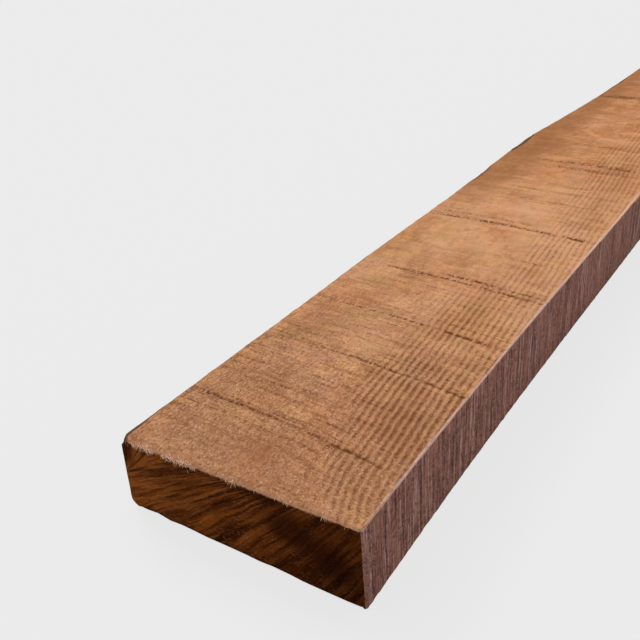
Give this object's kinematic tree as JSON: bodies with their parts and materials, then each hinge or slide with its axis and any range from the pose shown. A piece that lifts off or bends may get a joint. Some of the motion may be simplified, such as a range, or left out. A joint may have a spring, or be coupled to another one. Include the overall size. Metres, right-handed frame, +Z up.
{
  "type": "rough-sawn timber plank",
  "caption": "Rough-sawn hardwood plank of rectangular section, slightly sprung along its length, with one torn, waney upper edge and square-cut ends.",
  "frame": {"origin": "under the middle of the plank, on the surface it lies on", "axes": "+X along the grain towards the far end, +Y across the plank towards its rough side, +Z up through its thickness"},
  "size_m": [1.8, 0.1667, 0.0501],
  "materials": {
    "sawn_hardwood": "rough band-sawn reddish-brown hardwood, unfinished"
  },
  "bodies": {
    "root": {"plank": "sawn_hardwood"}
  },
  "joints": []
}
